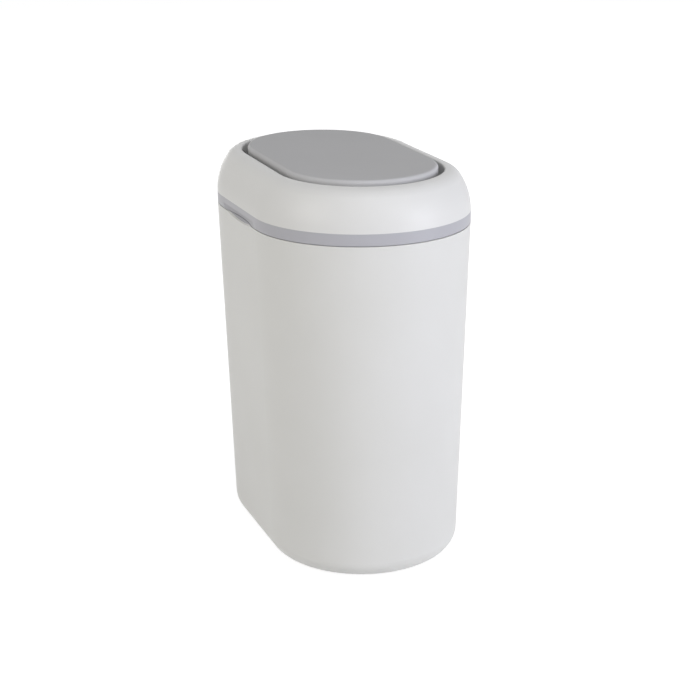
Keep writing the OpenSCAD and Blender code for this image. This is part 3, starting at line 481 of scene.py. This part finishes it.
def trap_springs():
    """The two torsion springs that lift the flaps: one leg on the chute, one under the flap."""
    coil, pitch, wire, flap_leg = 2.65, 1.7, 0.3, 14
    # The coil starts where one leg leans on the chute and ends where the other runs under the flap
    lean, leave = 127, 270 + 3 * 360
    length = pitch * (leave - lean) / 360
    to_chute = FLAP_PIN_X - OUTLET_OUT - CHUTE_WALL - wire - LEG_GAP
    chute_leg = (to_chute - coil * math.cos(math.radians(lean))) / math.sin(math.radians(lean))
    on_axis = Matrix.Translation(
        Vector((-FLAP_PIN_X, length / 2, FLAP_PIN_Z)) * MM) @ Matrix.Rotation(
            math.radians(90), 4, "X")
    for name, mirror in (("left_flap_spring", 1), ("right_flap_spring", -1)):
        shape = bmesh.new()
        wound_wire(shape, coil, pitch, lean, leave, chute_leg, flap_leg, wire)
        place = shoulder_slope() @ Matrix.Diagonal((mirror, 1, 1, 1)) @ on_axis
        spring = finish_piece(name, shape, pin_steel, None, place)
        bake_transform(spring)


def lid_spring():
    """Torsion spring on the lid's pin: one leg stands in the well's floor, one under the plate."""
    coil, pitch, wire = 3, 2.2, 0.4
    pin_depth, plate, sunk = 7, 2.5, 1.2
    tilt_angle, turns = 5, 5
    tilt, leave = math.radians(tilt_angle), 90 - tilt_angle + turns * 360
    length = pitch * leave / 360
    plate_leg = (pin_depth - plate - wire - LEG_GAP - coil * math.cos(tilt)) / math.sin(tilt)
    floor_leg = LID_PIN_Z - WELL_FLOOR + sunk
    shape = bmesh.new()
    wound_wire(shape, coil, -pitch, 0, leave, floor_leg, plate_leg, wire)
    place = (
        shoulder_slope() @ Matrix.Translation(Vector((length / 2, LID_PIN_Y, LID_PIN_Z)) * MM)
        @ Matrix.Rotation(math.radians(90), 4, "Z") @ Matrix.Rotation(math.radians(90), 4, "X"))
    spring = finish_piece("lid_spring", shape, pin_steel, None, place)
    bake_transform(spring)


def catch_spring():
    """Compression spring under the catch's plunger."""
    coil, pitch, turns, wire = 2, 1.325, 4, 0.25
    shape = bmesh.new()
    wound_wire(shape, coil, pitch, 0, turns * 360, 0, 0, wire)
    place = shoulder_slope() @ Matrix.Translation(Vector((0, CATCH_Y, CATCH_SPRING_Z)) * MM)
    spring = finish_piece("catch_spring", shape, pin_steel, "head", place)
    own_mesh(spring)


rim_seal()
lid_seal()
flap_seal("right_flap_seal", "right_trap_flap", 1)
flap_seal("left_flap_seal", "left_trap_flap", -1)
foot_ring()
screws("housing_screws", "head", LONG_SCREW, SHELF_UNDER, [
    (HOUSING_SCREW_OUT, 0),
    *end_places(HOUSING_SCREW_OUT, [12, 64, 116, 168, -12, -64, -116, -168])])
screws("chute_screws", "head", LONG_SCREW, FLANGE_UNDER, [
    *side_places(CHUTE_SCREW_OUT, CHUTE_SCREW_Y),
    *end_places(CHUTE_SCREW_OUT, [55, 125, -55, -125])], shoulder_slope())
screws("lid_screws", "lid", SHORT_SCREW, PANEL_UNDER, [
    *side_places(LID_SCREW_OUT, LID_SCREW_Y),
    *end_places(LID_SCREW_OUT, [-50, -130])], shoulder_slope())
trap_springs()
lid_spring()
catch_spring()


# ---- Camera ----

# The photograph's view: turn about the bin, height of the eye and tilt of the frame in degrees,
# then the distance, the point that it looks at and the lens in millimetres
AZIMUTH, ELEVATION, ROLL = -22.0, 18.64, -0.4
DISTANCE = 1.5647
TARGET = Vector((0.00961, 0, 0.19472))
LENS, SENSOR = 75.48, 36
turn, rise = math.radians(AZIMUTH), math.radians(ELEVATION)
back = Vector((
    math.sin(turn) * math.cos(rise), -math.cos(turn) * math.cos(rise), math.sin(rise)))
camera_data = bpy.data.cameras.new("camera")
camera_data.sensor_width = SENSOR
camera_data.lens = LENS
camera = bpy.data.objects.new("camera", camera_data)
bpy.context.scene.collection.objects.link(camera)
aim = (-back).to_track_quat("-Z", "Y").to_matrix().to_4x4()
camera.matrix_world = (
    Matrix.Translation(TARGET + DISTANCE * back) @ aim
    @ Matrix.Rotation(math.radians(ROLL), 4, "Z"))
bpy.context.scene.camera = camera


# ---- Floor and light ----

def seen_or_mirrored(tree):
    """1 for what the camera sees, straight, mirrored or through glass, and 0 for all other rays."""
    paths = add(tree, "ShaderNodeLightPath")
    seen = add(tree, "ShaderNodeMath", {"operation": "MAXIMUM"}, {
        0: paths.outputs["Is Camera Ray"], 1: paths.outputs["Is Glossy Ray"]})
    seen_through = add(tree, "ShaderNodeMath", {"operation": "MAXIMUM"}, {
        0: seen.outputs["Value"], 1: paths.outputs["Is Transmission Ray"]})
    return seen_through.outputs["Value"]


def plain_floor():
    """A pale floor that the camera sees as white, except for the bin's own soft shadow."""
    shadow_reach, full_white, glow_at_bin, floor_radius = 0.2, 0.5, 0.86, 6
    material, tree, place = new_material("pale_floor")
    shaded = add(tree, "ShaderNodeBsdfDiffuse", links={"Color": linear("9a9a9a")})
    # Full white a little way off, where no shadow falls
    away = add(tree, "ShaderNodeVectorMath", {"operation": "LENGTH"}, {0: place})
    level = add(tree, "ShaderNodeMapRange", links={
        "Value": away.outputs["Value"], "From Min": shadow_reach, "From Max": full_white,
        "To Min": glow_at_bin, "To Max": 1.0})
    glow = add(tree, "ShaderNodeEmission", links={
        "Color": (1, 1, 1, 1), "Strength": level.outputs["Result"]})
    seen = add(tree, "ShaderNodeAddShader", links={
        0: shaded.outputs["BSDF"], 1: glow.outputs["Emission"]})
    # What lights the bin from below is a plain pale surface
    plain = add(tree, "ShaderNodeBsdfDiffuse", links={"Color": linear("e6e6e6")})
    choice = add(tree, "ShaderNodeMixShader", links={
        0: seen_or_mirrored(tree), 1: plain.outputs["BSDF"], 2: seen.outputs["Shader"]})
    add(tree, "ShaderNodeOutputMaterial", links={"Surface": choice.outputs["Shader"]})
    mesh = bpy.data.meshes.new("floor")
    shape = bmesh.new()
    bmesh.ops.create_circle(shape, cap_ends=True, segments=96, radius=floor_radius)
    shape.to_mesh(mesh)
    shape.free()
    mesh.materials.append(material)
    floor = bpy.data.objects.new("floor", mesh)
    bpy.context.scene.collection.objects.link(floor)


def lamp(name, place, size, watts, colour):
    """A soft box of this width and height in metres that faces the middle of the bin."""
    data = bpy.data.lights.new(name, "AREA")
    data.shape = "RECTANGLE"
    data.size, data.size_y = size
    data.energy = watts
    data.color = linear(colour)[:3]
    light = bpy.data.objects.new(name, data)
    light.matrix_world = (
        Matrix.Translation(Vector(place))
        @ (TARGET - Vector(place)).to_track_quat("-Z", "Y").to_matrix().to_4x4())
    bpy.context.scene.collection.objects.link(light)


plain_floor()
# Brightest from the right front and softer on the left, as the photograph shows the bin
lamp("right_front", (1.6, -1.9, 0.6), (1.3, 1.1), 23, "f5f6ff")
lamp("left_side", (-2.2, -0.6, 1.2), (1.4, 1.6), 15.7, "fffbf2")
lamp("front_top", (-0.2, -1.6, 2.2), (1.8, 1.2), 9.6, "f8f9ff")
lamp("front_right_high", (0.9, -1.9, 1.6), (1.2, 1.0), 5.9, "f8f9ff")
lamp("front_middle", (0.2, -2.4, 0.8), (1.4, 1.2), 2.8, "f8f9ff")
# Low behind the bin, where the photograph's view shows nothing of it
lamp("back", (0.5, 2.1, 0.24), (1.2, 0.46), 5, "ffffff")

world = bpy.data.worlds.new("white_studio")
bpy.context.scene.world = world
world.use_nodes = True
world.node_tree.nodes.clear()
# White where it is seen, and a soft fill light on the bin
FILL = 0.3
level = add(world.node_tree, "ShaderNodeMapRange", links={
    "Value": seen_or_mirrored(world.node_tree), "To Min": FILL, "To Max": 1.0})
sky = add(world.node_tree, "ShaderNodeBackground", links={
    "Color": (1, 1, 1, 1), "Strength": level.outputs["Result"]})
add(world.node_tree, "ShaderNodeOutputWorld", links={"Surface": sky.outputs["Background"]})

bpy.context.scene.view_settings.view_transform = "Standard"
